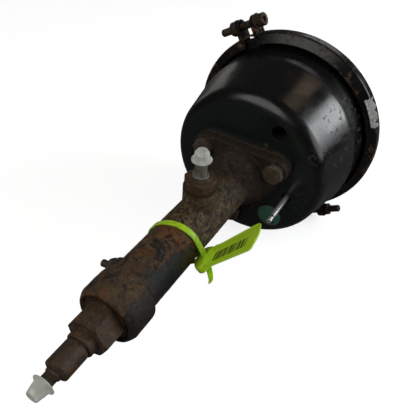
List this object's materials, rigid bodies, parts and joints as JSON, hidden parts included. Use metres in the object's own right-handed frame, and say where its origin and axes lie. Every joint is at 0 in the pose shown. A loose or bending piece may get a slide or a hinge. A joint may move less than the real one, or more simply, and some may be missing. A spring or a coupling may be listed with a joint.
{
  "type": "air over hydraulic brake chamber",
  "caption": "Spring-return diaphragm air chamber that drives a bolted-on hydraulic master cylinder, with clamp ring, stroke indicator, feed, bleed and outlet fittings and push-on caps.",
  "frame": {"origin": "centre of the rear cover's mounting face, midway between the two mounting studs", "axes": "+X along the chamber towards the hydraulic outlet; +Z the side of the feed port; +Y completes a right-handed frame, along the line of the mounting studs"},
  "size_m": [0.4525, 0.2064, 0.227],
  "materials": {
    "black_paint": "gloss black enamel, scratched and scuffed",
    "black_paint_clamp": "gloss black enamel with rust at the edges",
    "black_paint_pad": "black enamel over pressed steel",
    "bronze": "sintered bronze",
    "clamp_fasteners": "dark oxide with rust",
    "clear_plastic_cap": "translucent natural polyethylene",
    "copper_seal": "dull copper",
    "dark_stub": "dark oiled steel",
    "flange_bolts": "grey brown oxidised steel",
    "gasket_paper": "brown gasket board",
    "green_plastic": "lime green moulded plastic",
    "plated_pin": "plated steel, worn",
    "plated_stub": "plated steel",
    "rubber": "black rubber",
    "rusty_adapter": "brown rusted steel",
    "rusty_casting": "rusted casting with remains of black paint",
    "rusty_hexagon": "brown rusted steel",
    "rusty_nipple": "brown rusted steel",
    "spring_steel": "oiled spring steel",
    "worn_steel": "plain machined steel",
    "zinc_plate": "dull zinc plate"
  },
  "bodies": {
    "chamber": {"rear_cover": "black_paint", "air_inlet_boss": "black_paint_pad", "mounting_studs": "worn_steel", "front_housing": "black_paint", "diaphragm": "rubber", "return_spring": "spring_steel", "clamp_half_left": "black_paint_clamp", "clamp_half_right": "black_paint_clamp", "clamp_bolts": "clamp_fasteners", "clamp_nuts": "clamp_fasteners", "clamp_washers": "clamp_fasteners", "reinforcing_pad": "black_paint_pad", "flange_gasket": "gasket_paper", "backing_plate": "zinc_plate", "flange_bolts": "flange_bolts", "hydraulic_cylinder": "rusty_casting", "rod_guide": "bronze", "guide_circlip": "spring_steel", "piston_spring": "spring_steel", "end_plug": "rusty_hexagon", "plug_seal": "copper_seal", "adapter_seal": "copper_seal", "outlet_adapter": "rusty_adapter", "outlet_stub": "dark_stub", "feed_seal_washer": "copper_seal", "feed_adapter": "rusty_hexagon", "feed_stub": "plated_stub", "bleed_nipple": "rusty_nipple", "indicator_guide": "zinc_plate", "vent_port_boss": "zinc_plate", "seal_tag": "green_plastic"},
    "push_rod_group": {"pressure_plate": "zinc_plate", "push_rod": "worn_steel", "hydraulic_piston": "worn_steel", "secondary_seal": "rubber", "primary_cup": "rubber", "spring_seat": "worn_steel"},
    "indicator": {"indicator_pin": "plated_pin", "indicator_clip": "spring_steel"},
    "feed_cap_body": {"feed_cap": "clear_plastic_cap"},
    "outlet_cap_body": {"outlet_cap": "clear_plastic_cap"}
  },
  "joints": [
    {"name": "push_rod_slide", "type": "slide", "parent": "chamber", "child": "push_rod_group", "axis": [1, 0, 0], "range_m": [0, 0.06], "stiffness_N_per_m": 2500, "springref_m": -0.03, "deforming": ["return_spring", "piston_spring", "diaphragm"]},
    {"name": "indicator_slide", "type": "slide", "parent": "chamber", "child": "indicator", "axis": [1, 0, 0], "range_m": [-0.026, 0]},
    {"name": "feed_cap_slide", "type": "slide", "parent": "chamber", "child": "feed_cap_body", "axis": [0, 0, 1], "range_m": [0, 0.03]},
    {"name": "outlet_cap_slide", "type": "slide", "parent": "chamber", "child": "outlet_cap_body", "axis": [1, 0, 0], "range_m": [0, 0.03]}
  ]
}
